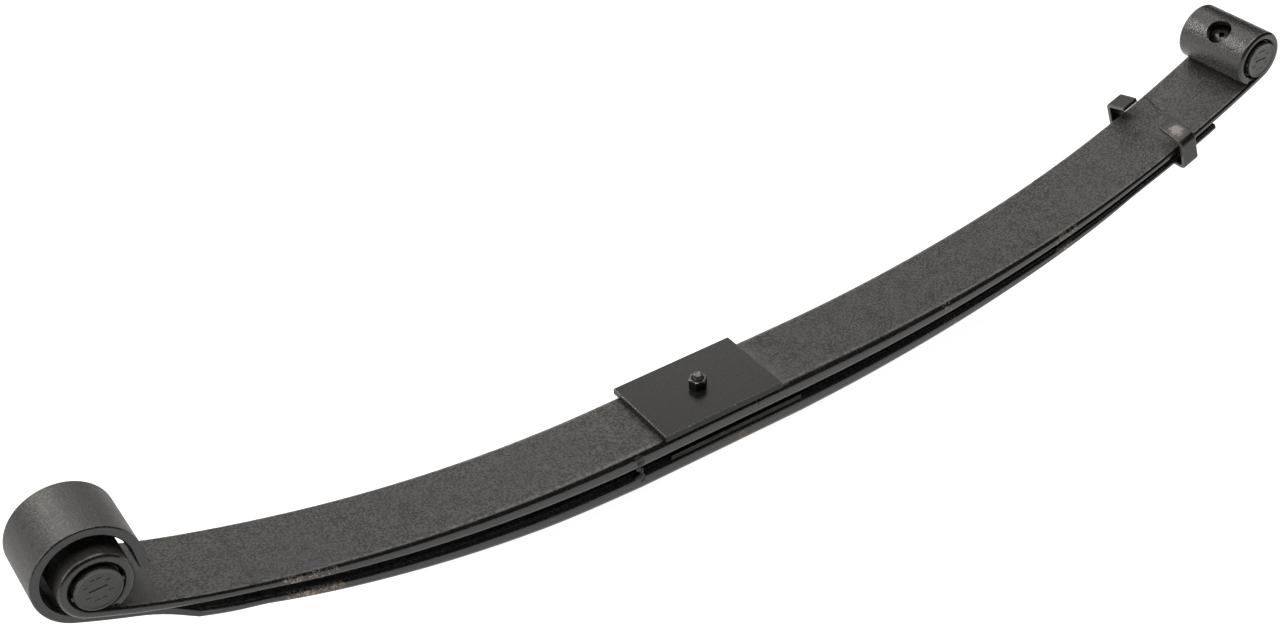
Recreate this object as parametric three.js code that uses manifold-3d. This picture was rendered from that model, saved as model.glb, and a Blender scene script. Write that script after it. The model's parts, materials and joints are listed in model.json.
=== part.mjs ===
// Two-leaf parabolic leaf spring: an upper main leaf with an upturned eye at each end, a lower
// leaf that wraps the front eye, and the hardware that holds the pack together.
//
// Millimetres. +X runs from the centre bolt to the rear eye, +Y across the leaves, +Z up.
// The origin is on the centre bolt's axis, at the underside of the lower leaf, which is the
// face that sits on the axle.

import * as THREE from 'three';
import { mergeVertices } from 'three/addons/utils/BufferGeometryUtils.js';
import Module from 'manifold-3d';

// ---------------------------------------------------------------- driving dimensions

// Leaves
const LEAF_WIDTH = 70;
const MAIN_THICKNESS = 16;
const SECOND_THICKNESS = 16.5;
const MAIN_END_THICKNESS = 7;
const WRAP_THICKNESS = 7;
const SECOND_TIP_THICKNESS = 5;
const SPACER_THICKNESS = 4;

// Each arm's top line: a flat seat, then arcs as [radius, length along the leaf].
// The tapers are parabolas: each vanishes at its own distance from the centre bolt.
const FRONT = {
  side: -1,
  seat: 77,
  arcs: [[1070, 330], [630, 92]],
  mainVanish: 450,
  secondVanish: 440,
};
const REAR = {
  side: 1,
  seat: 105,
  arcs: [[1400, 225], [915, 268]],
  mainVanish: 540,
  secondVanish: 470,
};
const TAPER_START = 77;

// Free space between the leaves
const FRONT_LEAF_GAP = 5.5;
const REAR_LEAF_GAP = 3.5;
const GAP_BLEND = 90;
const WRAP_CLOSING_START = 395;
const WRAP_CLOSING_LENGTH = 60;

// Eyes and the wrap around the front one
const EYE_BORE = 35;
const EYE_ROLL_END_CLEARANCE = 1.5;
const WRAP_CLEARANCE = 5.2;
const WRAP_EYE_GAP = 2;
const WRAP_REACH = 3.6;
const WRAP_ARC_END = 263;
const WRAP_STRAIGHT = 15.5;
const WRAP_WIDTH = 53;
const SHOULDER_FROM_CENTRE = 419;
const SHOULDER_LENGTH = 36;
const ACCESS_HOLE = 21.5;
const ACCESS_HOLE_ANGLE = 41;
const SECOND_TIP_FROM_EYE = 60;

// Eye bushes and their end plugs
const BUSH_WALL = 3.2;
const BUSH_INSET = 3;
const GREASE_HOLE = 5;
const PLUG_HEAD_INSET = 1.5;
const PLUG_STANDS_OUT = 2.5;
const PLUG_STEM_LENGTH = 12;
const PLUG_WALL = 2;
const PLUG_EAR_WIDTH = 3;
const PLUG_MARK = [14, 1.6, 0.5];

// Centre pack
const PLATE_LENGTH = 111;
const PLATE_OVERHANG = 1.5;
const PLATE_THICKNESS = 5.5;
const LINER_THICKNESS = 1;
const LINER_MARGIN = 1;
const SPACER_FRONT = 50;
const SPACER_REAR_MARGIN = 2;
const BOLT_DIAMETER = 8;
const BOLT_HEAD_DIAMETER = 14;
const BOLT_HEAD_HEIGHT = 6.5;
const BOLT_STANDS_OUT = 4;
const NUT_ACROSS_FLATS = 13;
const NUT_HEIGHT = 8;
const EDGE_CHAMFER = 1;

// Rebound clip, its rivet and the pad between the leaf tips
const CLIP_FROM_EYE = 101;
const CLIP_WIDTH = 16;
const CLIP_THICKNESS = 4;
const CLIP_SIDE_CLEARANCE = 5.5;
const CLIP_TOP_CLEARANCE = 10;
const CLIP_BEND_RADIUS = 2.5;
const CLIP_FOLD = 74;
const CLIP_NEAR_TAB = 22;
const CLIP_FAR_TAB = 18;
const RIVET_DIAMETER = 6;
const RIVET_HEAD_DIAMETER = 12;
const RIVET_HEAD_HEIGHT = 2.4;
const TIP_PAD_FROM_TIP = 18;
const TIP_PAD_LENGTH = 20;
const TIP_PAD_WIDTH = 44;
const TIP_PAD_STUD_DIAMETER = 8;

// Named clearances
const FIT = 0.3;
const HOLE_CLEARANCE = 0.4;
const CUT_MARGIN = 1;
const SHOULDER_OVERLAP = 10;

// Smoothness of the curved surfaces
const LEAF_STEP = 34;
const EYE_STEP = 15;
const BEND_STEPS = 3;
const ROUND_SIDES = 24;

// ---------------------------------------------------------------- heights in the centre pack

const SPACER_BOTTOM = SECOND_THICKNESS;
const MAIN_BOTTOM = SPACER_BOTTOM + SPACER_THICKNESS;
const MAIN_TOP = MAIN_BOTTOM + MAIN_THICKNESS;
const PLATE_BOTTOM = MAIN_TOP + LINER_THICKNESS;
const PLATE_TOP = PLATE_BOTTOM + PLATE_THICKNESS;
const EYE_RADIUS = EYE_BORE / 2;
const EYE_OUTER_RADIUS = EYE_RADIUS + MAIN_END_THICKNESS;

// ---------------------------------------------------------------- materials

function metal(color, roughness, metalness) {
  return new THREE.MeshStandardMaterial({ color, roughness, metalness });
}

const paintedLeaf = () => metal(0x34322f, 0.5, 0.3);
const glossPaint = () => metal(0x1e1d1c, 0.25, 0.3);
const bushSteel = () => metal(0x77736c, 0.35, 0.9);
const zincSteel = () => metal(0x8d8a83, 0.3, 0.9);
const linerSheet = () => metal(0x8f8d88, 0.4, 0.7);
const blackPlastic = () => metal(0x2b2a29, 0.45, 0);
const padPlastic = () => metal(0x3a3936, 0.6, 0);

// ---------------------------------------------------------------- solid helpers

const wasm = await Module();
wasm.setup();

function toSolid(geometry) {
  const bare = geometry.clone();
  bare.deleteAttribute('normal');
  bare.deleteAttribute('uv');
  const merged = mergeVertices(bare, 1e-5);
  return new wasm.Manifold(new wasm.Mesh({
    numProp: 3,
    vertProperties: new Float32Array(merged.attributes.position.array),
    triVerts: new Uint32Array(merged.index.array),
  }));
}

function toGeometry(solid) {
  const mesh = solid.getMesh();
  const geometry = new THREE.BufferGeometry();
  geometry.setAttribute('position', new THREE.BufferAttribute(mesh.vertProperties, 3));
  geometry.setIndex(new THREE.BufferAttribute(mesh.triVerts, 1));
  geometry.computeVertexNormals();
  return geometry;
}

function named(name, geometry, material) {
  const mesh = new THREE.Mesh(geometry, material);
  mesh.name = name;
  return mesh;
}

// Extrudes an outline in the XZ plane across Y, centred on Y = 0.
function acrossLeaf(points, width) {
  const geometry = new THREE.ExtrudeGeometry(new THREE.Shape(points), {
    depth: width,
    bevelEnabled: false,
  });
  geometry.translate(0, 0, -width / 2);
  geometry.rotateX(Math.PI / 2);
  return geometry;
}

// Extrudes an outline in the XY plane from one height up to another.
function upward(points, bottom, top) {
  const geometry = new THREE.ExtrudeGeometry(new THREE.Shape(points), {
    depth: top - bottom,
    bevelEnabled: false,
  });
  geometry.translate(0, 0, bottom);
  return geometry;
}

function slab(fromX, toX, width, bottom, top) {
  const geometry = new THREE.BoxGeometry(toX - fromX, width, top - bottom);
  geometry.translate((fromX + toX) / 2, 0, (bottom + top) / 2);
  return geometry;
}

function uprightRod(radius, bottom, top) {
  const geometry = new THREE.CylinderGeometry(radius, radius, top - bottom, ROUND_SIDES);
  geometry.rotateX(Math.PI / 2);
  geometry.translate(0, 0, (bottom + top) / 2);
  return geometry;
}

// Turns a closed or axis-to-axis profile of [radius, height] about the Z axis.
function turned(profile, sides = ROUND_SIDES) {
  const points = profile.map(([radius, height]) => new THREE.Vector2(radius, height));
  const geometry = new THREE.LatheGeometry(points, sides);
  geometry.rotateX(Math.PI / 2);
  return geometry;
}

// ---------------------------------------------------------------- the arms' shape

const degrees = THREE.MathUtils.degToRad;

function armLength(arm) {
  return arm.seat + arm.arcs.reduce((sum, [, length]) => sum + length, 0);
}

// A point on the main leaf's top line: distance out from the bolt, height and slope angle.
function topLine(arm, along) {
  if (along <= arm.seat) {
    return { out: along, up: MAIN_TOP, slope: 0 };
  }
  let here = { out: arm.seat, up: MAIN_TOP, slope: 0 };
  let left = along - arm.seat;
  for (const [radius, length] of arm.arcs) {
    const step = Math.min(left, length);
    const slope = here.slope + step / radius;
    here = {
      out: here.out + radius * (Math.sin(slope) - Math.sin(here.slope)),
      up: here.up + radius * (Math.cos(here.slope) - Math.cos(slope)),
      slope,
    };
    left -= step;
    if (left <= 0) {
      break;
    }
  }
  return here;
}

// The point at a depth below the top line, square to it.
function below(arm, along, depth) {
  const top = topLine(arm, along);
  const out = top.out + depth * Math.sin(top.slope);
  const up = top.up - depth * Math.cos(top.slope);
  return new THREE.Vector2(arm.side * out, up);
}

function taper(along, full, vanish, least) {
  if (along <= TAPER_START) {
    return full;
  }
  const share = Math.max(0, (vanish - along) / (vanish - TAPER_START));
  return Math.max(least, full * Math.sqrt(share));
}

function mainThickness(arm, along) {
  return taper(along, MAIN_THICKNESS, arm.mainVanish, MAIN_END_THICKNESS);
}

function secondThickness(arm, along) {
  const least = arm === FRONT ? WRAP_THICKNESS : SECOND_TIP_THICKNESS;
  return taper(along, SECOND_THICKNESS, arm.secondVanish, least);
}

// The gap opens from the spacer's thickness to the arm's own, and closes again at the wrap.
function leafGap(arm, along) {
  const open = arm === FRONT ? FRONT_LEAF_GAP : REAR_LEAF_GAP;
  const opening = THREE.MathUtils.smoothstep(along, arm.seat, arm.seat + GAP_BLEND);
  const gap = THREE.MathUtils.lerp(SPACER_THICKNESS, open, opening);
  if (arm === REAR) {
    return gap;
  }
  const closed = WRAP_CLOSING_START + WRAP_CLOSING_LENGTH;
  const closing = THREE.MathUtils.smoothstep(along, WRAP_CLOSING_START, closed);
  return THREE.MathUtils.lerp(gap, WRAP_EYE_GAP, closing);
}

// Stations along an arm, from the centre bolt out to the given length.
function stations(arm, length) {
  const marks = [0, TAPER_START, arm.seat];
  const count = Math.ceil((length - arm.seat) / LEAF_STEP);
  for (let i = 1; i <= count; i += 1) {
    marks.push(arm.seat + (length - arm.seat) * i / count);
  }
  return marks;
}

function surface(arm, length, depthAt) {
  return stations(arm, length).map((along) => below(arm, along, depthAt(along)));
}

// An arc that carries on from the end of an arm, rolled up and back over it. Turn 0 points
// straight down, and it grows outwards and up.
function rollArc(arm, centre, radius, fromTurn, toTurn) {
  const count = Math.ceil((toTurn - fromTurn) / degrees(EYE_STEP));
  const points = [];
  for (let i = 0; i <= count; i += 1) {
    const turn = fromTurn + (toTurn - fromTurn) * i / count;
    const out = radius * Math.sin(turn);
    const up = -radius * Math.cos(turn);
    points.push(new THREE.Vector2(centre.x + arm.side * out, centre.y + up));
  }
  return points;
}

function rollCentre(arm, depth, radius) {
  return below(arm, armLength(arm), depth - radius);
}

function eyeCentre(arm) {
  return rollCentre(arm, 0, EYE_RADIUS);
}

// ---------------------------------------------------------------- main leaf

// The roll stops where it comes back down to the leaf's top, cut so that its end lies along it.
function eyeRollEnd(arm, radius) {
  const slope = topLine(arm, armLength(arm)).slope;
  const lift = (EYE_RADIUS - EYE_ROLL_END_CLEARANCE) / radius;
  return slope + 2 * Math.PI - Math.acos(lift);
}

function mainArmOutline(arm) {
  const length = armLength(arm);
  const centre = eyeCentre(arm);
  const start = topLine(arm, length).slope;
  const bore = rollArc(arm, centre, EYE_RADIUS, start, eyeRollEnd(arm, EYE_RADIUS));
  const outside = rollArc(arm, centre, EYE_OUTER_RADIUS, start, eyeRollEnd(arm, EYE_OUTER_RADIUS));
  return [
    ...surface(arm, length, () => 0).slice(1, -1),
    ...bore,
    ...outside.reverse(),
    ...surface(arm, length, (along) => mainThickness(arm, along)).slice(0, -1).reverse(),
  ];
}

function boltHole() {
  const radius = BOLT_DIAMETER / 2 + HOLE_CLEARANCE;
  return toSolid(uprightRod(radius, -CUT_MARGIN, PLATE_TOP + CUT_MARGIN));
}

// A radial hole through the rear eye's roll, over the bush's grease hole.
function radialRod(arm, radius, from, to) {
  const rod = uprightRod(radius, from, to);
  rod.rotateY(-arm.side * degrees(ACCESS_HOLE_ANGLE));
  const centre = eyeCentre(arm);
  rod.translate(centre.x, 0, centre.y);
  return toSolid(rod);
}

function mainLeaf() {
  const rear = mainArmOutline(REAR);
  const front = mainArmOutline(FRONT).slice(0, -1).reverse();
  const blank = toSolid(acrossLeaf([...rear, ...front], LEAF_WIDTH));
  const access = radialRod(REAR, ACCESS_HOLE / 2, EYE_RADIUS / 2, EYE_OUTER_RADIUS + CUT_MARGIN);
  return toGeometry(blank.subtract(boltHole()).subtract(access));
}

// ---------------------------------------------------------------- second leaf

function secondTop(arm) {
  return (along) => mainThickness(arm, along) + leafGap(arm, along);
}

function secondBottom(arm) {
  const top = secondTop(arm);
  return (along) => top(along) + secondThickness(arm, along);
}

function secondRearLength() {
  return armLength(REAR) - SECOND_TIP_FROM_EYE;
}

function secondOutline(frontLength, frontEnd) {
  const rearLength = secondRearLength();
  return [
    ...surface(REAR, rearLength, secondTop(REAR)),
    ...surface(REAR, rearLength, secondBottom(REAR)).reverse(),
    ...surface(FRONT, frontLength, secondBottom(FRONT)).slice(1, -1),
    ...frontEnd,
    ...surface(FRONT, frontLength, secondTop(FRONT)).slice(1, -1).reverse(),
  ];
}

// The wrap: an arc clear of the eye, then a short straight end that hangs over the main leaf.
function wrapOutline() {
  const length = armLength(FRONT);
  const inner = EYE_OUTER_RADIUS + WRAP_CLEARANCE;
  const outer = inner + WRAP_THICKNESS;
  const start = topLine(FRONT, length).slope;
  const reach = new THREE.Vector2(-Math.cos(start), Math.sin(start)).multiplyScalar(WRAP_REACH);
  const centre = rollCentre(FRONT, MAIN_END_THICKNESS + WRAP_EYE_GAP, inner).add(reach);
  const end = degrees(WRAP_ARC_END);
  const tail = new THREE.Vector2(-Math.cos(end), Math.sin(end)).multiplyScalar(WRAP_STRAIGHT);
  const outside = rollArc(FRONT, centre, outer, start, end);
  const inside = rollArc(FRONT, centre, inner, start, end);
  return [
    ...outside,
    outside.at(-1).clone().add(tail),
    inside.at(-1).clone().add(tail),
    ...inside.reverse(),
  ];
}

// The lower leaf's plan at full width, ending in a hollow curve down to the wrap's width.
function shoulderPlan() {
  const step = (LEAF_WIDTH - WRAP_WIDTH) / 2;
  const radius = (SHOULDER_LENGTH ** 2 + step ** 2) / (2 * step);
  const narrowX = -SHOULDER_FROM_CENTRE - SHOULDER_LENGTH;
  const count = 2 * BEND_STEPS;
  const farEdge = [];
  for (let i = 0; i <= count; i += 1) {
    const inward = SHOULDER_LENGTH * i / count;
    const hollow = radius - Math.sqrt(radius ** 2 - inward ** 2);
    farEdge.push(new THREE.Vector2(narrowX + inward, WRAP_WIDTH / 2 + hollow));
  }
  const nearEdge = farEdge.map((point) => new THREE.Vector2(point.x, -point.y)).reverse();
  const rearX = topLine(REAR, armLength(REAR)).out;
  return [
    ...farEdge,
    new THREE.Vector2(rearX, LEAF_WIDTH / 2),
    new THREE.Vector2(rearX, -LEAF_WIDTH / 2),
    ...nearEdge,
  ];
}

function secondLeaf() {
  const wrapped = acrossLeaf(secondOutline(armLength(FRONT), wrapOutline()), WRAP_WIDTH);
  const flatLength = SHOULDER_FROM_CENTRE + SHOULDER_LENGTH + SHOULDER_OVERLAP;
  const flatEnd = [
    below(FRONT, flatLength, secondBottom(FRONT)(flatLength)),
    below(FRONT, flatLength, secondTop(FRONT)(flatLength)),
  ];
  const flat = acrossLeaf(secondOutline(flatLength, flatEnd), LEAF_WIDTH);
  const plan = upward(shoulderPlan(), -LEAF_WIDTH, 3 * LEAF_WIDTH);
  const body = toSolid(flat).intersect(toSolid(plan)).add(toSolid(wrapped));
  return toGeometry(body.subtract(boltHole()).subtract(rivetHole()).subtract(padStudHole()));
}

// ---------------------------------------------------------------- centre pack

function topPlate() {
  const width = LEAF_WIDTH + 2 * PLATE_OVERHANG;
  const plate = slab(-PLATE_LENGTH / 2, PLATE_LENGTH / 2, width, PLATE_BOTTOM, PLATE_TOP);
  return toGeometry(toSolid(plate).subtract(boltHole()));
}

function plateLiner() {
  const half = PLATE_LENGTH / 2 - LINER_MARGIN;
  const width = LEAF_WIDTH - 2 * LINER_MARGIN;
  const sheet = slab(-half, half, width, MAIN_TOP, PLATE_BOTTOM);
  return toGeometry(toSolid(sheet).subtract(boltHole()));
}

function leafSpacer() {
  const rear = TAPER_START - SPACER_REAR_MARGIN;
  const strip = slab(-SPACER_FRONT, rear, LEAF_WIDTH, SPACER_BOTTOM, MAIN_BOTTOM);
  return toGeometry(toSolid(strip).subtract(boltHole()));
}

function centreBolt() {
  const shank = BOLT_DIAMETER / 2;
  const head = BOLT_HEAD_DIAMETER / 2;
  const top = PLATE_TOP + NUT_HEIGHT + BOLT_STANDS_OUT;
  return turned([
    [0, -BOLT_HEAD_HEIGHT],
    [head - EDGE_CHAMFER, -BOLT_HEAD_HEIGHT],
    [head, -BOLT_HEAD_HEIGHT + EDGE_CHAMFER],
    [head, 0],
    [shank, 0],
    [shank, top - EDGE_CHAMFER],
    [shank - EDGE_CHAMFER, top],
    [0, top],
  ]);
}

function centreNut() {
  const corner = NUT_ACROSS_FLATS / Math.sqrt(3);
  const top = PLATE_TOP + NUT_HEIGHT;
  const hex = new THREE.CylinderGeometry(corner, corner, NUT_HEIGHT, 6);
  hex.rotateX(Math.PI / 2);
  hex.rotateZ(Math.PI / 12);
  hex.translate(0, 0, (PLATE_TOP + top) / 2);
  const crown = turned([
    [0, PLATE_TOP],
    [corner + CUT_MARGIN, PLATE_TOP],
    [corner + CUT_MARGIN, top - EDGE_CHAMFER],
    [NUT_ACROSS_FLATS / 2, top],
    [0, top],
  ]);
  const thread = BOLT_DIAMETER / 2 + FIT;
  const threads = uprightRod(thread, PLATE_TOP - CUT_MARGIN, top + CUT_MARGIN);
  return toGeometry(toSolid(hex).intersect(toSolid(crown)).subtract(toSolid(threads)));
}

// ---------------------------------------------------------------- eye bushes and plugs

function eyeBush(arm) {
  const half = LEAF_WIDTH / 2 - BUSH_INSET;
  const outer = EYE_RADIUS - FIT;
  const inner = outer - BUSH_WALL;
  const tube = turned([
    [inner, -half],
    [outer, -half],
    [outer, half],
    [inner, half],
    [inner, -half],
  ]);
  tube.rotateX(Math.PI / 2);
  if (arm === FRONT) {
    return tube;
  }
  const drill = uprightRod(GREASE_HOLE / 2, inner / 2, outer + CUT_MARGIN);
  drill.rotateY(-arm.side * degrees(ACCESS_HOLE_ANGLE));
  return toGeometry(toSolid(tube).subtract(toSolid(drill)));
}

// A cup-shaped plug for one end of a bush, modelled with its face towards +Z.
function endPlug() {
  const seat = LEAF_WIDTH / 2 - BUSH_INSET + FIT;
  const face = LEAF_WIDTH / 2 + PLUG_STANDS_OUT;
  const head = EYE_RADIUS - PLUG_HEAD_INSET;
  const stem = EYE_RADIUS - FIT - BUSH_WALL - FIT;
  const cup = turned([
    [0, seat],
    [stem - PLUG_WALL, seat],
    [stem - PLUG_WALL, seat - PLUG_STEM_LENGTH],
    [stem, seat - PLUG_STEM_LENGTH],
    [stem, seat],
    [head, seat],
    [head, face - EDGE_CHAMFER],
    [head - EDGE_CHAMFER, face],
    [0, face],
  ]);
  const earTop = face - EDGE_CHAMFER;
  const ear = new THREE.BoxGeometry(2 * (EYE_RADIUS - FIT), PLUG_EAR_WIDTH, earTop - seat);
  ear.translate(0, 0, (earTop + seat) / 2);
  const mark = new THREE.BoxGeometry(PLUG_MARK[0], PLUG_MARK[1], 2 * PLUG_MARK[2]);
  mark.translate(0, 0, face);
  return toGeometry(toSolid(cup).add(toSolid(ear)).add(toSolid(mark)));
}

function eyeGroup(arm, name) {
  const centre = eyeCentre(arm);
  const eye = new THREE.Group();
  eye.position.set(centre.x, 0, centre.y);
  eye.add(named(`${name}_eye_bush`, eyeBush(arm), bushSteel()));
  for (const [side, turn] of [['near', Math.PI / 2], ['far', -Math.PI / 2]]) {
    const plug = named(`${name}_${side}_plug`, endPlug(), blackPlastic());
    plug.rotation.x = turn;
    eye.add(plug);
  }
  return eye;
}

// ---------------------------------------------------------------- rebound clip and tip pad

function clipAlong() {
  return armLength(REAR) - CLIP_FROM_EYE;
}

function padAlong() {
  return secondRearLength() - TIP_PAD_FROM_TIP;
}

// A frame at a place on the rear arm: X along the leaf, Z square to it, origin on the top line.
function frameAt(along) {
  const top = topLine(REAR, along);
  const frame = new THREE.Group();
  frame.position.set(top.out, 0, top.up);
  frame.rotation.y = -top.slope;
  return frame;
}

function placedOnArm(geometry, along) {
  const top = topLine(REAR, along);
  const copy = geometry.clone();
  copy.rotateY(-top.slope);
  copy.translate(top.out, 0, top.up);
  return toSolid(copy);
}

// A hole straight through the lower leaf's rear arm.
function secondLeafHole(diameter, along) {
  const bottom = -secondBottom(REAR)(along) - CUT_MARGIN;
  const top = -secondTop(REAR)(along) + CUT_MARGIN;
  return placedOnArm(uprightRod(diameter / 2 + FIT, bottom, top), along);
}

function rivetHole() {
  return secondLeafHole(RIVET_DIAMETER, clipAlong());
}

function padStudHole() {
  return secondLeafHole(TIP_PAD_STUD_DIAMETER, padAlong());
}

// An arc of the clip's section, about a centre, between two angles in degrees.
function bend(centreY, centreZ, radius, from, to) {
  const points = [];
  for (let i = 0; i <= BEND_STEPS; i += 1) {
    const angle = degrees(from + (to - from) * i / BEND_STEPS);
    const y = centreY + radius * Math.cos(angle);
    const z = centreZ + radius * Math.sin(angle);
    points.push(new THREE.Vector2(y, z));
  }
  return points;
}

// One face of the clip's section on its far side: the bottom bend, the top bend and the tab.
function clipFace(reach, bottom, top, radius, inner, tab) {
  const fold = degrees(CLIP_FOLD);
  const tip = new THREE.Vector2(-Math.sin(fold), Math.cos(fold)).multiplyScalar(tab);
  const upper = bend(reach - inner, top - inner, radius, 0, CLIP_FOLD);
  return [
    ...bend(reach - inner, bottom + inner, radius, -90, 0),
    ...upper,
    upper.at(-1).clone().add(tip),
  ];
}

function clipSide(tab) {
  const reach = LEAF_WIDTH / 2 + CLIP_SIDE_CLEARANCE;
  const bottom = -secondBottom(REAR)(clipAlong()) - FIT;
  const top = CLIP_TOP_CLEARANCE;
  const inner = CLIP_BEND_RADIUS;
  const inside = clipFace(reach, bottom, top, inner, inner, tab);
  const outside = clipFace(reach, bottom, top, inner + CLIP_THICKNESS, inner, tab);
  return { inside, outside };
}

function reboundClip() {
  const far = clipSide(CLIP_FAR_TAB);
  const near = clipSide(CLIP_NEAR_TAB);
  const flip = (points) => points.map((point) => new THREE.Vector2(-point.x, point.y));
  const outline = [
    ...far.outside,
    ...far.inside.reverse(),
    ...flip(near.inside),
    ...flip(near.outside).reverse(),
  ];
  const strip = new THREE.ExtrudeGeometry(new THREE.Shape(outline), {
    depth: CLIP_WIDTH,
    bevelEnabled: false,
  });
  strip.translate(0, 0, -CLIP_WIDTH / 2);
  strip.rotateX(Math.PI / 2);
  strip.rotateZ(Math.PI / 2);
  const depth = secondBottom(REAR)(clipAlong());
  const hole = uprightRod(RIVET_DIAMETER / 2 + FIT, -depth - 2 * CLIP_THICKNESS, -depth);
  return toGeometry(toSolid(strip).subtract(toSolid(hole)));
}

function clipRivet() {
  const along = clipAlong();
  const top = -secondTop(REAR)(along) + FIT;
  const bottom = -secondBottom(REAR)(along) - CLIP_THICKNESS - 2 * FIT;
  const shank = RIVET_DIAMETER / 2;
  const head = RIVET_HEAD_DIAMETER / 2;
  return turned([
    [0, bottom - RIVET_HEAD_HEIGHT],
    [head - EDGE_CHAMFER, bottom - RIVET_HEAD_HEIGHT],
    [head, bottom],
    [shank, bottom],
    [shank, top],
    [head, top],
    [head - EDGE_CHAMFER, top + RIVET_HEAD_HEIGHT],
    [0, top + RIVET_HEAD_HEIGHT],
  ]);
}

function tipPad() {
  const along = padAlong();
  const top = -mainThickness(REAR, along) - FIT;
  const bottom = -secondTop(REAR)(along) + FIT;
  const half = TIP_PAD_LENGTH / 2;
  const block = slab(-half, half, TIP_PAD_WIDTH, bottom, top);
  const foot = -secondBottom(REAR)(along) + FIT;
  const stud = uprightRod(TIP_PAD_STUD_DIAMETER / 2, foot, (bottom + top) / 2);
  return toGeometry(toSolid(block).add(toSolid(stud)));
}

// ---------------------------------------------------------------- assembly

const spring = new THREE.Group();
spring.add(named('main_leaf', mainLeaf(), paintedLeaf()));
spring.add(named('second_leaf', secondLeaf(), paintedLeaf()));
spring.add(named('leaf_spacer', leafSpacer(), linerSheet()));
spring.add(named('plate_liner', plateLiner(), linerSheet()));
spring.add(named('top_plate', topPlate(), glossPaint()));
spring.add(named('centre_bolt', centreBolt(), zincSteel()));
spring.add(named('centre_nut', centreNut(), glossPaint()));
spring.add(eyeGroup(FRONT, 'front'));
spring.add(eyeGroup(REAR, 'rear'));

const clipFrame = frameAt(clipAlong());
clipFrame.add(named('rebound_clip', reboundClip(), glossPaint()));
clipFrame.add(named('clip_rivet', clipRivet(), glossPaint()));
spring.add(clipFrame);

const padFrame = frameAt(padAlong());
padFrame.add(named('tip_pad', tipPad(), padPlastic()));
spring.add(padFrame);

export default spring;
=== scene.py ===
# %% [markdown]
# # A two-leaf parabolic spring
# The spring stands on its seat with its eyes up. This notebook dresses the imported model: the two
# leaves, their rolled eyes, the bolted middle and the rebound clip are modelled again with rounded
# edges, and every surface gets its paint, steel or plastic. It starts with the fixed frame, which
# says where everything is.

import json
import math
from math import radians

import bmesh
import bpy
from mathutils import Matrix, Vector


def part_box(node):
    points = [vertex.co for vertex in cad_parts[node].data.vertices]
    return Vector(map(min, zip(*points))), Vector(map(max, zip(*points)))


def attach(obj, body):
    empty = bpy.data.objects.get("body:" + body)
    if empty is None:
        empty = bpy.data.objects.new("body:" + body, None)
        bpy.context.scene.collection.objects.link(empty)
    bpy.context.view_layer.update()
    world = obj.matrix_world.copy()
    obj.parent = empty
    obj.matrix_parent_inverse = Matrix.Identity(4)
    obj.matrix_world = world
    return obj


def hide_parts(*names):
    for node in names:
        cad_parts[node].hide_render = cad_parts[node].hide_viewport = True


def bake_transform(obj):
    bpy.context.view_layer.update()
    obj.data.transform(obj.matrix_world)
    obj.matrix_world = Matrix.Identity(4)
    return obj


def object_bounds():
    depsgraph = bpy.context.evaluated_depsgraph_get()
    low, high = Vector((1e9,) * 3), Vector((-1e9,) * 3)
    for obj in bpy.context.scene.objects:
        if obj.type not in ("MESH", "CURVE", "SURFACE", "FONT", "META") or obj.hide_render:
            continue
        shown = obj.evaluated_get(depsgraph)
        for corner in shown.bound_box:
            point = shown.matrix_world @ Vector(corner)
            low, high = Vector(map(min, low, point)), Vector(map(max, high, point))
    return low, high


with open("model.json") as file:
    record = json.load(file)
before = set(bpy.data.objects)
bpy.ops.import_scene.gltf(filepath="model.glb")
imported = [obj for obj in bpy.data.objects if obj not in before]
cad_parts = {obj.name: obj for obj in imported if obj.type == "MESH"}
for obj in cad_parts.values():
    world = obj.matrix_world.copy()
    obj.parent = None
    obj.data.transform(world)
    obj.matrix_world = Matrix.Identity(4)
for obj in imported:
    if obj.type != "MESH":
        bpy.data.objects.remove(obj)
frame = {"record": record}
CAD_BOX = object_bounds()
print("box:", [[round(v, 4) for v in corner] for corner in CAD_BOX])

# %% [markdown]
# ## The shape that the leaves share
# Both leaves follow one line: flat on the seat, then two arcs of their own radius on each side. A
# parabolic leaf gets thinner as the square root of the distance to the load, so its stress stays
# even. These are the sizes that the spring was designed with, in metres.

# %% Sizes of the leaves
HALF_WIDTH = 0.035
MAIN_THICK, SECOND_THICK, END_THICK, TIP_THICK = 0.016, 0.0165, 0.007, 0.005
SPACER_THICK = 0.004
MAIN_TOP = SECOND_THICK + SPACER_THICK + MAIN_THICK
LINER_THICK, PLATE_THICK = 0.001, 0.0055
PLATE_X, PLATE_Y, PLATE_TOP = 0.0555, 0.0365, MAIN_TOP + LINER_THICK + PLATE_THICK
BOLT_HOLE, RIVET_HOLE, STUD_HOLE = 0.0044, 0.0033, 0.0043
TAPER_START = 0.077
FRONT = dict(side=-1, seat=0.077, arcs=((1.070, 0.330), (0.630, 0.092)), main=0.450, second=0.440,
             gap=0.0055)
REAR = dict(side=1, seat=0.105, arcs=((1.400, 0.225), (0.915, 0.268)), main=0.540, second=0.470,
            gap=0.0035)
GAP_BLEND, CLOSING_START, CLOSING_LENGTH, WRAP_GAP = 0.090, 0.395, 0.060, 0.002
EYE_RADIUS = 0.0175
EYE_OUTER = EYE_RADIUS + END_THICK
WRAP_INNER, WRAP_REACH, WRAP_TAIL = EYE_OUTER + 0.0052, 0.0036, 0.0155
WRAP_END = radians(263)
WRAP_HALF_WIDTH = 0.0265
SHOULDER_START, SHOULDER_LENGTH = 0.419, 0.036
SECOND_TIP_FROM_EYE = 0.060


def arm_length(arm):
    return arm["seat"] + sum(length for _, length in arm["arcs"])


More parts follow.
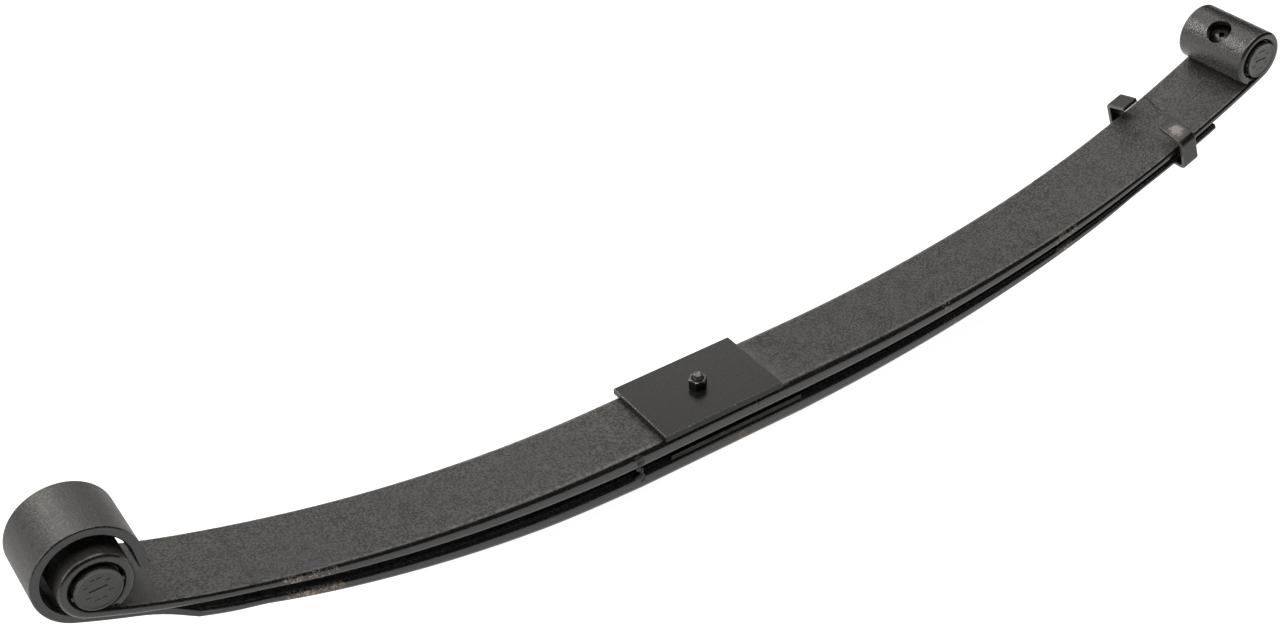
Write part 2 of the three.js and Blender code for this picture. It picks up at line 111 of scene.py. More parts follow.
def top_line(arm, along):
    """Distance out from the bolt, height and slope of the main leaf's top, this far along it."""
    out, up, slope = min(along, arm["seat"]), MAIN_TOP, 0.0
    left = along - arm["seat"]
    for radius, length in arm["arcs"]:
        if left <= 0:
            break
        turned_to = slope + min(left, length) / radius
        out += radius * (math.sin(turned_to) - math.sin(slope))
        up += radius * (math.cos(slope) - math.cos(turned_to))
        slope, left = turned_to, left - length
    return out, up, slope


def below(arm, along, depth):
    """The point at a depth under the top line, square to it."""
    out, up, slope = top_line(arm, along)
    x = arm["side"] * (out + depth * math.sin(slope))
    return Vector((x, 0, up - depth * math.cos(slope)))


def smooth(value, low, high):
    share = min(1.0, max(0.0, (value - low) / (high - low)))
    return share * share * (3 - 2 * share)


def taper(along, full, vanish, least):
    if along <= TAPER_START:
        return full
    share = max(0.0, (vanish - along) / (vanish - TAPER_START))
    return max(least, full * math.sqrt(share))


def main_depth(arm, along):
    return taper(along, MAIN_THICK, arm["main"], END_THICK)


def second_top(arm, along):
    opening = smooth(along, arm["seat"], arm["seat"] + GAP_BLEND)
    gap = SPACER_THICK + (arm["gap"] - SPACER_THICK) * opening
    if arm is FRONT:
        closing = smooth(along, CLOSING_START, CLOSING_START + CLOSING_LENGTH)
        gap += (WRAP_GAP - gap) * closing
    return main_depth(arm, along) + gap


def second_bottom(arm, along):
    least = END_THICK if arm is FRONT else TIP_THICK
    return second_top(arm, along) + taper(along, SECOND_THICK, arm["second"], least)


def eye_centre(arm):
    return below(arm, arm_length(arm), -EYE_RADIUS)


for name, arm in (("front", FRONT), ("rear", REAR)):
    low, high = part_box(f"{name}_eye_bush")
    print(name, "eye is off its bush by", round((eye_centre(arm) - (low + high) / 2).length, 5))

# %% [markdown]
# ## The camera
# The camera comes early, so that each piece can be looked at while it is made. It stands in front
# of the spring's near side, well above it, with a normal lens and a slight tilt.

# %% Camera
AZIMUTH, ELEVATION, ROLL = radians(-32.146), radians(36.774), radians(-2.840)
TARGET = Vector((-0.0501, 0.0, 0.1352))
DISTANCE = 1.3129
back = Vector((math.sin(AZIMUTH) * math.cos(ELEVATION), -math.cos(AZIMUTH) * math.cos(ELEVATION),
               math.sin(ELEVATION)))
right = Vector((math.cos(AZIMUTH), math.sin(AZIMUTH), 0.0))
up = back.cross(right)
across = math.cos(ROLL) * right + math.sin(ROLL) * up
upright = math.cos(ROLL) * up - math.sin(ROLL) * right
lens = bpy.data.cameras.new("camera")
lens.lens, lens.sensor_width = 50.05, 36.0
camera = bpy.data.objects.new("camera", lens)
camera.matrix_world = Matrix.Translation(TARGET + back * DISTANCE) @ Matrix(
    (across, upright, back)).transposed().to_4x4()
bpy.context.scene.collection.objects.link(camera)
bpy.context.scene.camera = camera
print("camera at", [round(v, 3) for v in camera.matrix_world.translation])

# %% [markdown]
# ## Tools for modelling by steps
# A leaf is a bar of steel whose section changes slowly, so it is modelled as the mill makes it: the
# section is drawn once and then pulled along the line, step by step. Each step extrudes the end
# face, turns it about the arc's centre, and squeezes it to the right thickness. A turned part is
# made from a circle in the same way, ring by ring.

# %% Selecting and moving
def clear_selection():
    if bpy.context.object and bpy.context.object.mode != "OBJECT":
        bpy.ops.object.mode_set(mode="OBJECT")
    bpy.ops.object.select_all(action="DESELECT")


def only(obj):
    clear_selection()
    obj.select_set(True)
    bpy.context.view_layer.objects.active = obj


def named(name):
    """The object that was just made, under its own name."""
    obj = bpy.context.object
    obj.name = obj.data.name = name
    return obj


def place(obj):
    """Puts an object's place, turn and size into its mesh."""
    only(obj)
    bpy.ops.object.transform_apply(location=True, rotation=True, scale=True)
    return obj


def edit(obj, mode="FACE"):
    """Opens a piece for editing, with all of it selected."""
    only(obj)
    bpy.ops.object.mode_set(mode="EDIT")
    bpy.ops.mesh.select_mode(type=mode)
    bpy.ops.mesh.select_all(action="SELECT")


def choose(obj, faces):
    """In edit mode, selects only the faces whose place and normal pass the test."""
    mesh = bmesh.from_edit_mesh(obj.data)
    for item in (*mesh.verts, *mesh.edges, *mesh.faces):
        item.select = False
    for face in mesh.faces:
        face.select_set(faces(face.calc_center_median(), face.normal))
    bmesh.update_edit_mesh(obj.data)


def turn_selection(angle, centre, axis):
    """Turns the selection by the right hand about an axis: with no window the sign is flipped."""
    bpy.ops.transform.rotate(value=-angle, orient_axis=axis, center_override=centre)


def pull(move):
    bpy.ops.mesh.extrude_region_move(TRANSFORM_OT_translate={"value": move})


def sweep(angle, centre, axis="Y"):
    """Extrudes the selection and turns it about a centre."""
    bpy.ops.mesh.extrude_region_move()
    turn_selection(angle, centre, axis)


def swung(obj, angle, axis, to):
    """Turns a whole piece about the origin, and then moves it."""
    edit(obj)
    turn_selection(angle, (0, 0, 0), axis)
    bpy.ops.transform.translate(value=to)
    bpy.ops.object.mode_set(mode="OBJECT")
    return obj


def joined(parts):
    clear_selection()
    for part in parts:
        part.select_set(True)
    bpy.context.view_layer.objects.active = parts[0]
    bpy.ops.object.join()
    return parts[0]


print("tools for selecting and moving are ready")

# %% [markdown]
# ### Edges, holes and shading
# Flat faces have to look flat and bends round, so a piece is shaded again after every bevel and
# every hole.

# %% Edges, holes and shading
def applied(obj, kind, **values):
    """Adds a modifier, sets it, and applies it."""
    only(obj)
    modifier = obj.modifiers.new(kind.lower(), kind)
    for key, value in values.items():
        setattr(modifier, key, value)
    bpy.ops.object.modifier_apply(modifier=modifier.name)
    return obj


def close_edit(obj):
    """Merges doubles, points the faces outwards and shades the mesh smooth."""
    bpy.ops.mesh.select_all(action="SELECT")
    bpy.ops.mesh.remove_doubles(threshold=1e-6)
    bpy.ops.mesh.normals_make_consistent(inside=False)
    bpy.ops.object.mode_set(mode="OBJECT")
    bpy.ops.object.shade_smooth_by_angle(angle=radians(35))
    print(obj.name, len(obj.data.polygons), "faces")


def smoothed(obj, angle=35):
    """Shades a piece smooth, with normals that keep its broad flat faces looking flat."""
    only(obj)
    bpy.ops.object.shade_smooth_by_angle(angle=radians(angle))
    return applied(obj, "WEIGHTED_NORMAL", keep_sharp=True)


def rounded(obj, width, segments=3, angle=35):
    applied(obj, "BEVEL", width=width, segments=segments, limit_method="ANGLE",
            angle_limit=radians(angle))
    return smoothed(obj)


def mill_edges(obj, radius_at, end_radius=0.0006):
    """Rounds each sharp long edge by the radius wanted there, as a rolled bar's edges are."""
    mesh = bmesh.new()
    mesh.from_mesh(obj.data)
    weight = mesh.edges.layers.float.new("bevel_weight_edge")
    for edge in mesh.edges:
        if edge.calc_face_angle(0.0) < radians(35):
            continue
        low, high = (v.co for v in edge.verts)
        crosswise = abs((high - low).normalized().y) > 0.9
        edge[weight] = (end_radius if crosswise else radius_at((low + high) / 2)) / FULL_RADIUS
    mesh.to_mesh(obj.data)
    mesh.free()
    applied(obj, "BEVEL", width=FULL_RADIUS, segments=8, profile=0.48, limit_method="WEIGHT",
            use_clamp_overlap=False)
    return smoothed(obj)


def upright_cutter(radius, bottom, top):
    clear_selection()
    bpy.ops.mesh.primitive_cylinder_add(vertices=48, radius=radius, depth=top - bottom,
                                        location=(0, 0, (bottom + top) / 2))
    return place(bpy.context.object)


def cut(obj, *cutters):
    """Takes each cutter's solid out of a piece, and throws the cutter away."""
    for cutter in cutters:
        applied(obj, "BOOLEAN", operation="DIFFERENCE", object=cutter, solver="EXACT")
        bpy.data.objects.remove(cutter)
    return smoothed(obj)


def on_arm(obj, along):
    """Moves a part made at the origin to its place on the rear arm, square to the leaf."""
    out, rise, slope = top_line(REAR, along)
    return swung(obj, -slope, "Y", (out, 0, rise))


print("tools for edges and holes are ready")

# %% [markdown]
# ## Pulling a section along an arm
# The section has four corners. The upper two and the lower two are moved apart from each other, so
# the thickness and the gap to the other leaf can both change from step to step.

# %% Section helpers
def section(name, half_width, bottom, top):
    """The bar's section in the middle of the spring, standing across the leaves."""
    clear_selection()
    bpy.ops.mesh.primitive_plane_add(size=1, location=(0, 0, (bottom + top) / 2))
    obj = named(name)
    obj.scale = (top - bottom, 2 * half_width, 1)
    obj.rotation_euler = (0, math.pi / 2, 0)
    edit(place(obj))
    return obj


def with_only(obj, members, action):
    """Acts on only these of the selected corners, and then selects them all again."""
    mesh = bmesh.from_edit_mesh(obj.data)
    chosen = [v.index for v in mesh.verts if v.select]
    for vert in mesh.verts:
        vert.select_set(vert.index in members)
    bmesh.update_edit_mesh(obj.data)
    action()
    mesh = bmesh.from_edit_mesh(obj.data)
    mesh.verts.ensure_lookup_table()
    for index in chosen:
        mesh.verts[index].select_set(True)
    mesh.select_flush(True)
    bmesh.update_edit_mesh(obj.data)


def selected_pairs(obj, normal):
    """The selected corners, as the lower pair and the upper pair."""
    mesh = bmesh.from_edit_mesh(obj.data)
    corners = sorted((v for v in mesh.verts if v.select), key=lambda v: v.co.dot(normal))
    return {v.index for v in corners[:2]}, {v.index for v in corners[2:]}


def set_width(obj, half_width):
    mesh = bmesh.from_edit_mesh(obj.data)
    now = max(v.co.y for v in mesh.verts if v.select)
    if abs(now - half_width) > 1e-6:
        bpy.ops.transform.resize(value=(1, half_width / now, 1), center_override=(0, 0, 0))


def arc_ends(arm):
    end = arm["seat"]
    for radius, length in arm["arcs"]:
        end += length
        yield radius, end


def end_face(obj):
    choose(obj, lambda at, normal: abs(at.x) < 1e-5 and abs(normal.x) > 0.99)


print("tools for the section are ready")

# %% [markdown]
# ### Steps along an arm and round a roll
# The steps are close together where the line bends. A roll is the same step, repeated about the
# eye's centre.

# %% Steps along an arm and round a roll
def pull_arm(obj, arm, marks, top, bottom, half_width):
    """Pulls the selected end face out along an arm, through the marks."""
    side, here = arm["side"], 0.0
    for mark in marks:
        slope = top_line(arm, here)[2]
        if mark <= arm["seat"]:
            pull((side * (mark - here), 0, 0))
        else:
            next_slope = top_line(arm, mark)[2]
            radius = next(r for r, end in arc_ends(arm) if mark <= end + 1e-9)
            sweep(-side * (next_slope - slope), below(arm, here, -radius))
        slope = top_line(arm, mark)[2]
        normal = Vector((-side * math.sin(slope), 0, math.cos(slope)))
        lower, upper = selected_pairs(obj, normal)
        for members, depth in ((upper, top), (lower, bottom)):
            change = depth(arm, here) - depth(arm, mark)
            if abs(change) > 1e-7:
                move = normal * change
                with_only(obj, members, lambda: bpy.ops.transform.translate(value=move))
        set_width(obj, half_width(arm, mark))
        here = mark


def marks_for(arm, length, step=0.008, extra=()):
    """Marks along an arm: close together on the arcs, with one at each change of arc."""
    stops = [TAPER_START, arm["seat"], *(end for _, end in arc_ends(arm)), *extra]
    stops = sorted({round(s, 6) for s in stops if s < length} | {round(length, 6)})
    marks, last = [], 0.0
    for stop in stops:
        count = max(1, math.ceil((stop - last) / step)) if last >= TAPER_START else 1
        marks += [last + (stop - last) * i / count for i in range(1, count + 1)]
        last = stop
    return marks


def roll(arm, centre, angle, step):
    """Rolls the end face up and back over the arm, about a centre."""
    count = math.ceil(math.degrees(angle) / step)
    for _ in range(count):
        sweep(-arm["side"] * angle / count, centre)


def slanted_roll(obj, arm, centre, angle, lead):
    """A roll whose inside runs ahead in its last part, so that its end lies along the leaf."""
    count = math.ceil(math.degrees(angle) / 6)
    slanting = count // 5
    for done in range(count):
        sweep(-arm["side"] * angle / count, centre)
        if done >= count - slanting:
            more = -arm["side"] * lead / slanting
            with_only(obj, inner_corners(obj, centre), lambda: turn_selection(more, centre, "Y"))


def inner_corners(obj, centre):
    mesh = bmesh.from_edit_mesh(obj.data)
    corners = sorted((v for v in mesh.verts if v.select), key=lambda v: (v.co - centre).xz.length)
    return {v.index for v in corners[:2]}


print("tools for the steps are ready")

# %% [markdown]
# ## The main leaf
# The upper leaf ends in two rolled eyes. Each roll carries straight on from the arm's arc, round a
# mandrel as wide as the bush, until it almost meets the leaf again. The mill rounds the bar's long
# edges, so a bevel goes round the whole outline. The holes are cut last: the one for the centre
# bolt, and the wide one in the rear roll that reaches the bush.

# %% Main leaf
ACCESS_RADIUS, ACCESS_ANGLE = 0.01075, radians(41)
ROUND_SHARE = 0.38
FULL_RADIUS = ROUND_SHARE * SECOND_THICK


def no_depth(arm, along):
    return 0.0


def full_width(arm, along):
    return HALF_WIDTH


def roll_angle(radius):
    """How far a roll of this radius turns before it is 1.5 mm above the leaf again."""
    return 2 * math.pi - math.acos((EYE_RADIUS - 0.0015) / radius)


def main_edge(point):
    return ROUND_SHARE * main_depth(FRONT if point.x < 0 else REAR, abs(point.x) * 1.01)


def access_cutter():
    """A straight drill with a short countersink where it leaves the roll."""
    drill = upright_cutter(ACCESS_RADIUS, EYE_RADIUS * 0.4, EYE_OUTER - 0.0006)
    edit(drill)
    choose(drill, lambda at, normal: normal.z > 0.9)
    for rise, grow in ((0.0012, 1.09), (0.010, 1.3)):
        pull((0, 0, rise))
        bpy.ops.transform.resize(value=(grow, grow, 1), center_override=(0, 0, 0))
    return swung(drill, -ACCESS_ANGLE, "Y", eye_centre(REAR))


main_leaf = section("main_leaf_whole", HALF_WIDTH, MAIN_TOP - MAIN_THICK, MAIN_TOP)
for arm in (REAR, FRONT):
    if arm is FRONT:
        end_face(main_leaf)
    length = arm_length(arm)
    pull_arm(main_leaf, arm, marks_for(arm, length), no_depth, main_depth, full_width)
    slanted_roll(main_leaf, arm, eye_centre(arm), roll_angle(EYE_OUTER),
                 roll_angle(EYE_RADIUS) - roll_angle(EYE_OUTER))
close_edit(main_leaf)
mill_edges(main_leaf, main_edge, 0.0016)
cut(main_leaf, upright_cutter(BOLT_HOLE, 0.0, 0.06), access_cutter())

# %% [markdown]
# ## The lower leaf
# It lies a few millimetres under the main leaf. At the rear it simply ends. At the front it steps
# down to a narrower strip through a hollow shoulder, and wraps the eye loosely: should the main
# leaf break, the wrap still holds the axle.

# %% Lower leaf
def wrap_width(arm, along):
    if arm is REAR:
        return HALF_WIDTH
    out = top_line(arm, along)[0]
    step = HALF_WIDTH - WRAP_HALF_WIDTH
    inward = SHOULDER_START + SHOULDER_LENGTH - out
    if inward <= 0:
        return WRAP_HALF_WIDTH
    if inward >= SHOULDER_LENGTH:
        return HALF_WIDTH
    radius = (SHOULDER_LENGTH ** 2 + step ** 2) / (2 * step)
    return WRAP_HALF_WIDTH + radius - math.sqrt(radius ** 2 - inward ** 2)


def second_edge(point):
    """Rounded by its thickness, but the wrap's strip is sheared, so its edges stay crisp."""
    if point.x < 0:
        sheared = smooth(-point.x, SHOULDER_START - 0.002, SHOULDER_START + 0.010)
        along = min(-point.x * 1.01, SHOULDER_START)
        full = ROUND_SHARE * (second_bottom(FRONT, along) - second_top(FRONT, along))
        return full + (0.0013 - full) * sheared
    along = point.x * 1.015
    return ROUND_SHARE * (second_bottom(REAR, along) - second_top(REAR, along))


def arm_cutter(radius, along):
    return on_arm(upright_cutter(radius, -0.035, -0.004), along)


CLIP_ALONG = arm_length(REAR) - 0.101
PAD_ALONG = arm_length(REAR) - SECOND_TIP_FROM_EYE - 0.018

second_leaf = section("second_leaf_whole", HALF_WIDTH, 0.0, SECOND_THICK)
rear_marks = marks_for(REAR, arm_length(REAR) - SECOND_TIP_FROM_EYE)
pull_arm(second_leaf, REAR, rear_marks, second_top, second_bottom, full_width)
end_face(second_leaf)
front_length = arm_length(FRONT)
shoulder_ends = (0.4355, 0.4735)
front_marks = marks_for(FRONT, front_length, 0.006, shoulder_ends)
pull_arm(second_leaf, FRONT, front_marks, second_top, second_bottom, wrap_width)
slope = top_line(FRONT, front_length)[2]
reach = Vector((-math.cos(slope), 0, math.sin(slope))) * WRAP_REACH
pull(reach)
wrap_centre = below(FRONT, front_length, END_THICK + WRAP_GAP - WRAP_INNER) + reach
roll(FRONT, wrap_centre, WRAP_END - slope, 4)
tail = Vector((-math.cos(WRAP_END), 0, math.sin(WRAP_END))) * WRAP_TAIL
pull(tail)
close_edit(second_leaf)
mill_edges(second_leaf, second_edge)
cut(second_leaf, upright_cutter(BOLT_HOLE, -0.01, 0.03), arm_cutter(RIVET_HOLE, CLIP_ALONG),
    arm_cutter(STUD_HOLE, PAD_ALONG))

# %% [markdown]
# ## Halves that can bend
# Each arm bends on its own, so each leaf is cut in two at the centre bolt, under the plate where
# nobody sees the joint. Both halves keep the same place and the same paint.

# %% Halve the leaves
def halved(whole, name):
    halves = {}
    for side, label in ((-1, "front"), (1, "rear")):
        half = whole.copy()
        half.data = whole.data.copy()
        bpy.context.scene.collection.objects.link(half)
        half.name = half.data.name = f"{name}_{label}_half"
        edit(half)
        bpy.ops.mesh.bisect(plane_co=(0, 0, 0), plane_no=(1, 0, 0), use_fill=True,
                            clear_inner=side > 0, clear_outer=side < 0)
        halves[label] = smoothed(half)
        print(half.name, len(half.data.polygons), "faces")
    bpy.data.objects.remove(whole)
    return halves


leaf_halves = {"main": halved(main_leaf, "main_leaf"), "second": halved(second_leaf, "second_leaf")}
for name, halves in leaf_halves.items():
    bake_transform(halves["front"])
    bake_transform(halves["rear"])
    for half in halves.values():
        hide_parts(f"{name}_leaf")

# %% [markdown]
# ## Turned parts
# The bolt, the bushes, the plugs and the rivet come off a lathe or out of a round mould. Each is a
# circle that is extruded and resized ring by ring, from its lowest ring to its highest.

# %% Turned-part helper
def turned(name, rings, sides=48, hollow=False):
    """A round solid about Z from rings of (radius, height). A hollow one closes on itself."""
    clear_selection()
    radius, height = rings[0]
    fill = "NOTHING" if hollow else "NGON"
    bpy.ops.mesh.primitive_circle_add(vertices=sides, radius=radius, fill_type=fill,
                                      location=(0, 0, height))
    obj = named(name)
    edit(place(obj), "EDGE" if hollow else "FACE")
    for next_radius, next_height in rings[1:]:
        extrude = bpy.ops.mesh.extrude_edges_move if hollow else bpy.ops.mesh.extrude_region_move
        extrude(TRANSFORM_OT_translate={"value": (0, 0, next_height - height)})
        grow = next_radius / radius
        if abs(grow - 1) > 1e-6:
            bpy.ops.transform.resize(value=(grow, grow, 1), center_override=(0, 0, next_height))
        radius, height = next_radius, next_height
    close_edit(obj)
    return obj


def lay_down(obj, centre, near=True):
    """Turns an upright part so that its top points at the near or far side, at a centre."""
    return swung(obj, math.pi / 2 if near else -math.pi / 2, "X", centre)


def ride_for(obj, node):
    """A piece that rides on its node's body and stands for the node, whose part is hidden."""
    body = next(b for b, members in frame["record"]["behaviour"]["bodies"].items()
                if node in members)
    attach(obj, body)
    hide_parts(node)
    return obj


print("tools for turned parts are ready")

# %% [markdown]
# ## The centre bolt and its nut
# A centre bolt has a round head below, which finds its hole in the axle's saddle, and a threaded
# end above. The thread is cut as a row of rings at the pitch of an 8 mm bolt. The nut is a
# six-sided cylinder whose top corners are turned off by a cone.

# %% Centre bolt and nut
BOLT_TOP = PLATE_TOP + 0.012
NUT_HEIGHT = 0.008
rings = [(0.0062, -0.0065), (0.0068, -0.0062), (0.0070, -0.0056), (0.0070, -0.0004),
         (0.0066, 0.0), (0.0040, 0.0), (0.0040, PLATE_TOP - 0.004)]
pitch, height = 0.00125, PLATE_TOP - 0.0035
while height + pitch < BOLT_TOP - 0.0010:
    rings += [(0.0036, height), (0.0039, height + 0.45 * pitch), (0.0039, height + 0.6 * pitch)]
    height += pitch
rings += [(0.0036, height), (0.0037, BOLT_TOP - 0.0008), (0.0035, BOLT_TOP - 0.0002),
          (0.0032, BOLT_TOP), (0.0023, BOLT_TOP), (0.0020, BOLT_TOP - 0.0004),
          (0.0004, BOLT_TOP - 0.0004)]
bolt = turned("centre_bolt_body", rings)
ride_for(bolt, "centre_bolt")

NUT_ACROSS_FLATS = 0.013
corner = NUT_ACROSS_FLATS / math.sqrt(3)
clear_selection()
bpy.ops.mesh.primitive_cylinder_add(vertices=6, radius=corner, depth=NUT_HEIGHT,
                                    location=(0, 0, PLATE_TOP + NUT_HEIGHT / 2),
                                    rotation=(0, 0, radians(15)))
nut = place(named("centre_nut_body"))
top = PLATE_TOP + NUT_HEIGHT
crown = turned("crown", [(corner + 0.001, PLATE_TOP - 0.001), (corner + 0.001, top - 0.0012),
                         (0.0066, top - 0.0001), (0.0062, top + 0.0001)], 48)
applied(nut, "BOOLEAN", operation="INTERSECT", object=crown, solver="EXACT")
bpy.data.objects.remove(crown)
countersink = turned("countersink", [(0.0042, PLATE_TOP - 0.001), (0.0042, top - 0.0008),
                                     (0.0056, top + 0.0006)], 32)
cut(nut, countersink)
rounded(nut, 0.0003, 2, 25)
ride_for(smoothed(nut, 28), "centre_nut")

# %% [markdown]
# ## The top plate
# A flat plate under the nut spreads the clamp. It is sheared from strip, so its edges are slightly
# rounded on top, and it has one hole.

# %% Top plate
def bar(name, size, centre, bevel, segments=3):
    clear_selection()
    bpy.ops.mesh.primitive_cube_add(size=1, location=centre)
    obj = named(name)
    obj.scale = size
    return rounded(place(obj), bevel, segments)


plate = bar("top_plate_body", (2 * PLATE_X, 2 * PLATE_Y, PLATE_THICK),
            (0, 0, PLATE_TOP - PLATE_THICK / 2), 0.0009)
cut(plate, upright_cutter(BOLT_HOLE, 0.03, 0.05))
ride_for(plate, "top_plate")

# %% [markdown]
# ## Bushes and plugs
# A steel sleeve sits in each eye, and a plastic plug closes each end of it for transport. A plug is
# a cup with a low rim round its face, two small ears that snap into the eye, and a plain bar in the
# middle of the face.

# %% Bushes and plugs
BUSH_OUTER, BUSH_INNER, BUSH_HALF = EYE_RADIUS - 0.0003, EYE_RADIUS - 0.0035, 0.032
FACE, SEAT, HEAD, STEM, PIP_CIRCLE = 0.0375, 0.0323, 0.016, 0.0137, 0.0085


def eye_bush(name, arm):
    soft = 0.0006
    tube = turned(name, [
        (BUSH_INNER + soft, -BUSH_HALF), (BUSH_OUTER - soft, -BUSH_HALF),
        (BUSH_OUTER, -BUSH_HALF + soft), (BUSH_OUTER, BUSH_HALF - soft),
        (BUSH_OUTER - soft, BUSH_HALF), (BUSH_INNER + soft, BUSH_HALF),
        (BUSH_INNER, BUSH_HALF - soft), (BUSH_INNER, -BUSH_HALF + soft),
        (BUSH_INNER + soft, -BUSH_HALF)], 64, hollow=True)
    lay_down(tube, eye_centre(arm))
    if arm is REAR:
        grease_hole = upright_cutter(0.0025, 0.005, 0.02)
        cut(tube, swung(grease_hole, -ACCESS_ANGLE, "Y", eye_centre(arm)))
    return tube


def end_plug(name, arm, near):
    cup = turned(name, [
        (STEM - 0.002, SEAT + 0.0005), (STEM - 0.002, SEAT - 0.012), (STEM, SEAT - 0.012),
        (STEM, SEAT), (HEAD - 0.0003, SEAT), (HEAD, SEAT + 0.0004), (HEAD, FACE - 0.0008),
        (HEAD - 0.0003, FACE - 0.0002), (HEAD - 0.0009, FACE), (HEAD - 0.0017, FACE - 0.0001),
        (HEAD - 0.0022, FACE - 0.0005), (HEAD - 0.0034, FACE - 0.0006),
        (0.004, FACE - 0.0006)], 64)
    parts = [cup]
    for side in (-1, 1):
        at = (side * 0.0152, 0, SEAT + 0.0022)
        parts.append(bar("ear", (0.004, 0.003, 0.0036), at, 0.0004, 2))
    parts.append(bar("mark", (0.012, 0.0016, 0.0012), (0, 0, FACE - 0.0006), 0.0003, 2))
    for angle in (30, 75, 105, 150, 210, 255, 285, 330):
        turn = radians(angle)
        at = (PIP_CIRCLE * math.cos(turn), PIP_CIRCLE * math.sin(turn), FACE - 0.0007)
        parts.append(bar("pip", (0.0032, 0.0012, 0.0009), at, 0.0002, 2))
    return lay_down(smoothed(joined(parts)), eye_centre(arm), near)


for label, arm in (("front", FRONT), ("rear", REAR)):
    bush = eye_bush(f"{label}_eye_sleeve", arm)
    ride_for(bush, f"{label}_eye_bush")
    for side in ("near", "far"):
        plug = end_plug(f"{label}_{side}_plug_body", arm, side == "near")
        ride_for(plug, f"{label}_{side}_plug")

# %% [markdown]
# ## The rebound clip
# A strap of flat steel runs under both leaves and up their sides, and its ends are hammered over
# the top, so that the leaves stay together when the wheel drops. It is bent like the real one: a
# short piece of strap, extruded and turned about the centre of each bend.

# %% Rebound clip
CLIP_HALF, CLIP_THICK, CLIP_BEND = 0.008, 0.004, 0.0025
CLIP_REACH, CLIP_TOP, CLIP_FOLD = HALF_WIDTH + 0.0055, 0.010, radians(74)
CLIP_BOTTOM = -second_bottom(REAR, CLIP_ALONG) - 0.0003


def bend_strap(side, centre, angle):
    for _ in range(8):
        sweep(side * angle / 8, centre, "X")


def strap():
    clear_selection()
    bpy.ops.mesh.primitive_plane_add(size=1, location=(0, 0, CLIP_BOTTOM - CLIP_THICK / 2))
    obj = named("rebound_clip_strap")
    obj.scale = (2 * CLIP_HALF, CLIP_THICK, 1)
    obj.rotation_euler = (math.pi / 2, 0, 0)
    edit(place(obj))
    for side, tab in ((1, 0.018), (-1, 0.022)):
        if side < 0:
            choose(obj, lambda at, normal: abs(at.y) < 1e-5 and abs(normal.y) > 0.99)
        turn_y, low, high = CLIP_REACH - CLIP_BEND, CLIP_BOTTOM + CLIP_BEND, CLIP_TOP - CLIP_BEND
        pull((0, side * turn_y, 0))
        bend_strap(side, (0, side * turn_y, low), math.pi / 2)
        pull((0, 0, high - low))
        bend_strap(side, (0, side * turn_y, high), CLIP_FOLD)
        pull(Vector((0, -side * math.sin(CLIP_FOLD), math.cos(CLIP_FOLD))) * tab)
    close_edit(obj)
    rounded(obj, 0.0008, 3)
    cut(obj, upright_cutter(RIVET_HOLE, CLIP_BOTTOM - 0.01, CLIP_BOTTOM + 0.001))
    return on_arm(obj, CLIP_ALONG)


ride_for(strap(), "rebound_clip")

# %% [markdown]
# ## The rivet and the tip pad
# A rivet holds the clip to the lower leaf. A plastic pad between the leaf tips lets them slide on
# each other quietly. Both are mostly out of sight.

# %% Rivet and pad
rivet_top = -second_top(REAR, CLIP_ALONG) + 0.0003
rivet_low = -second_bottom(REAR, CLIP_ALONG) - CLIP_THICK - 0.0006
rivet = turned("clip_rivet_body", [
    (0.0022, rivet_low - 0.0024), (0.0040, rivet_low - 0.0021), (0.0054, rivet_low - 0.0012),
    (0.0060, rivet_low), (0.0030, rivet_low), (0.0030, rivet_top), (0.0060, rivet_top),
    (0.0052, rivet_top + 0.0014), (0.0036, rivet_top + 0.0022), (0.0020, rivet_top + 0.0024)], 32)
ride_for(on_arm(rivet, CLIP_ALONG), "clip_rivet")

pad_top = -main_depth(REAR, PAD_ALONG) - 0.0003
pad_low = -second_top(REAR, PAD_ALONG) + 0.0003
foot = -second_bottom(REAR, PAD_ALONG) + 0.0003
pad = bar("tip_pad_body", (0.020, 0.044, pad_top - pad_low), (0, 0, (pad_top + pad_low) / 2),
          0.0008)
stud = turned("stud", [(0.0034, foot), (0.0040, foot + 0.0006), (0.0040, pad_low + 0.0005)], 32)
ride_for(on_arm(joined([pad, stud]), PAD_ALONG), "tip_pad")

# %% [markdown]
# ## Runs of paint
# The spring was painted whole, so a thick run hangs beside the plate, across the gap between the
# leaves, and a forked drip has dried under the plate's edge. Each is a few drops melted together.

# %% Paint runs
def run_of_drops(name, drops):
    parts = []
    for x, y, z, size in drops:
        clear_selection()
        bpy.ops.mesh.primitive_ico_sphere_add(subdivisions=3, radius=1, location=(x, y, z))
        bpy.context.object.scale = size
        parts.append(place(bpy.context.object))
    joined(parts)
    run = named(name)
    applied(run, "REMESH", mode="VOXEL", voxel_size=0.0004, use_smooth_shade=True)
    applied(run, "SMOOTH", factor=0.5, iterations=4)
    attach(run, "centre_pack")
    return run


SIDE = -HALF_WIDTH
paint_runs = [
    run_of_drops("paint_run_by_plate", [
        (-0.0790, SIDE + 0.0002, 0.0330, (0.0050, 0.0012, 0.0030)),
        (-0.0775, SIDE + 0.0004, 0.0285, (0.0042, 0.0013, 0.0036)),
        (-0.0800, SIDE + 0.0012, 0.0235, (0.0022, 0.0014, 0.0040)),
        (-0.0770, SIDE + 0.0014, 0.0195, (0.0020, 0.0015, 0.0040)),
        (-0.0790, SIDE + 0.0006, 0.0145, (0.0046, 0.0012, 0.0034)),
        (-0.0765, SIDE + 0.0006, 0.0100, (0.0028, 0.0010, 0.0028))]),
    run_of_drops("paint_drip_under_plate", [
        (0.0315, SIDE + 0.0018, 0.0350, (0.0007, 0.0012, 0.0018)),
        (0.0350, SIDE + 0.0018, 0.0352, (0.0007, 0.0012, 0.0016)),
        (0.0332, SIDE + 0.0008, 0.0330, (0.0016, 0.0010, 0.0009)),
        (0.0333, SIDE + 0.0003, 0.0308, (0.0006, 0.0009, 0.0022))]),
]
